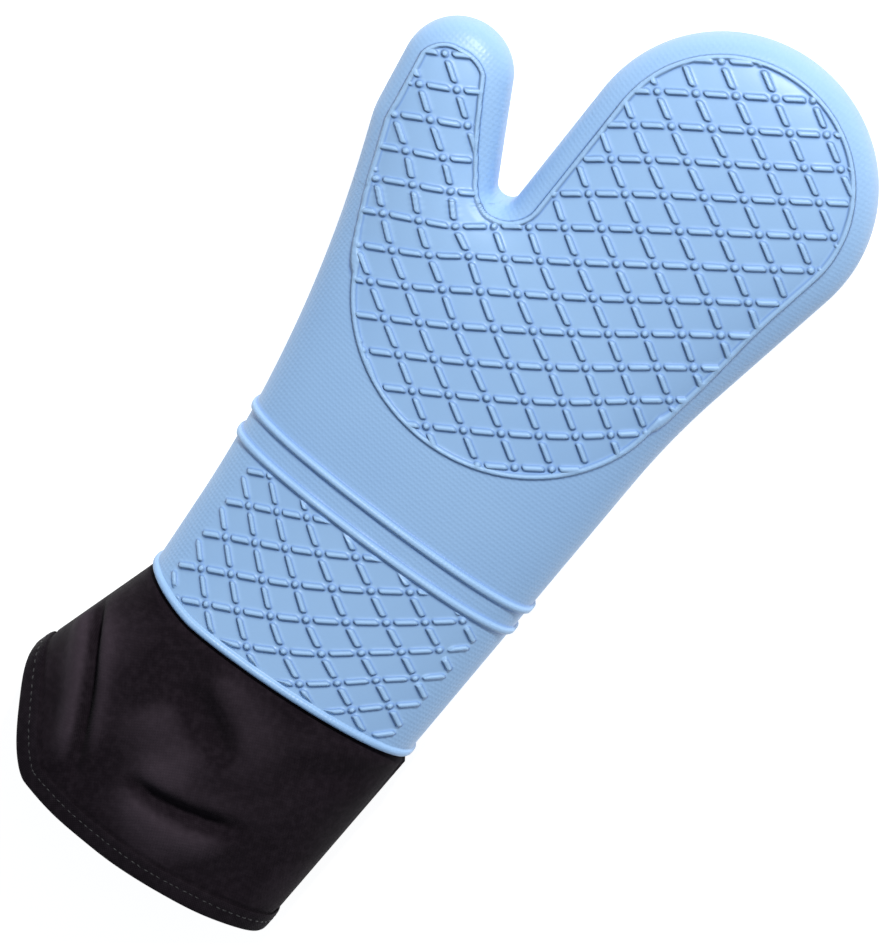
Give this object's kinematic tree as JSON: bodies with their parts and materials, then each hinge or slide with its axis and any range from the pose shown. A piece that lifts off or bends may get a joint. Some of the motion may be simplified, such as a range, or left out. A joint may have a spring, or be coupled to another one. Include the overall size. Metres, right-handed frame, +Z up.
{
  "type": "oven mitt",
  "caption": "Long silicone oven mitt with a raised lattice grip, a padded cotton liner and a black fabric cuff; the fingers and the thumb fold.",
  "frame": {"origin": "bottom centre of the bounding box, on the surface that the mitt lies on", "axes": "+Y from the cuff's mouth to the fingertips, +Z up out of the patterned face that the mitt shows, -X the thumb's side"},
  "size_m": [0.1744, 0.3875, 0.0552],
  "materials": {
    "silicone": "satin moulded silicone",
    "black_cotton": "plain woven cotton",
    "batting": "polyester wadding",
    "lining": "plain woven cotton",
    "thread": "spun polyester thread"
  },
  "bodies": {
    "palm": {"silicone_shell_palm": "silicone", "silicone_fold_fingers": "silicone", "silicone_fold_thumb": "silicone", "liner_fold_fingers": "batting", "liner_fold_thumb": "batting", "liner_cover_palm_front": "black_cotton", "liner_cover_palm_back": "black_cotton", "batting_palm_front": "batting", "batting_palm_back": "batting", "lining_palm_front": "lining", "lining_palm_back": "lining", "cuff_hem_front": "black_cotton", "cuff_hem_back": "black_cotton", "side_seam_tape_left": "black_cotton", "side_seam_tape_right": "black_cotton", "hem_stitching_outer": "thread", "hem_stitching_inner": "thread"},
    "fingers": {"silicone_shell_fingers": "silicone", "liner_cover_fingers_front": "black_cotton", "liner_cover_fingers_back": "black_cotton", "batting_fingers_front": "batting", "batting_fingers_back": "batting", "lining_fingers_front": "lining", "lining_fingers_back": "lining"},
    "thumb": {"silicone_shell_thumb": "silicone", "liner_cover_thumb_front": "black_cotton", "liner_cover_thumb_back": "black_cotton", "batting_thumb_front": "batting", "batting_thumb_back": "batting", "lining_thumb_front": "lining", "lining_thumb_back": "lining"}
  },
  "joints": [
    {"name": "finger_fold", "type": "hinge", "parent": "palm", "child": "fingers", "pos_m": [0.02947, 0.10229, 0.0225], "axis": [1, 0, 0], "range_deg": [0, 55], "stiffness_Nm_per_rad": 0.25, "deforming": ["silicone_fold_fingers", "liner_fold_fingers"]},
    {"name": "thumb_fold", "type": "hinge", "parent": "palm", "child": "thumb", "pos_m": [-0.05657, 0.08053, 0.0225], "axis": [0.848, 0.5299, 0], "range_deg": [0, 45], "stiffness_Nm_per_rad": 0.12, "deforming": ["silicone_fold_thumb", "liner_fold_thumb"]}
  ]
}
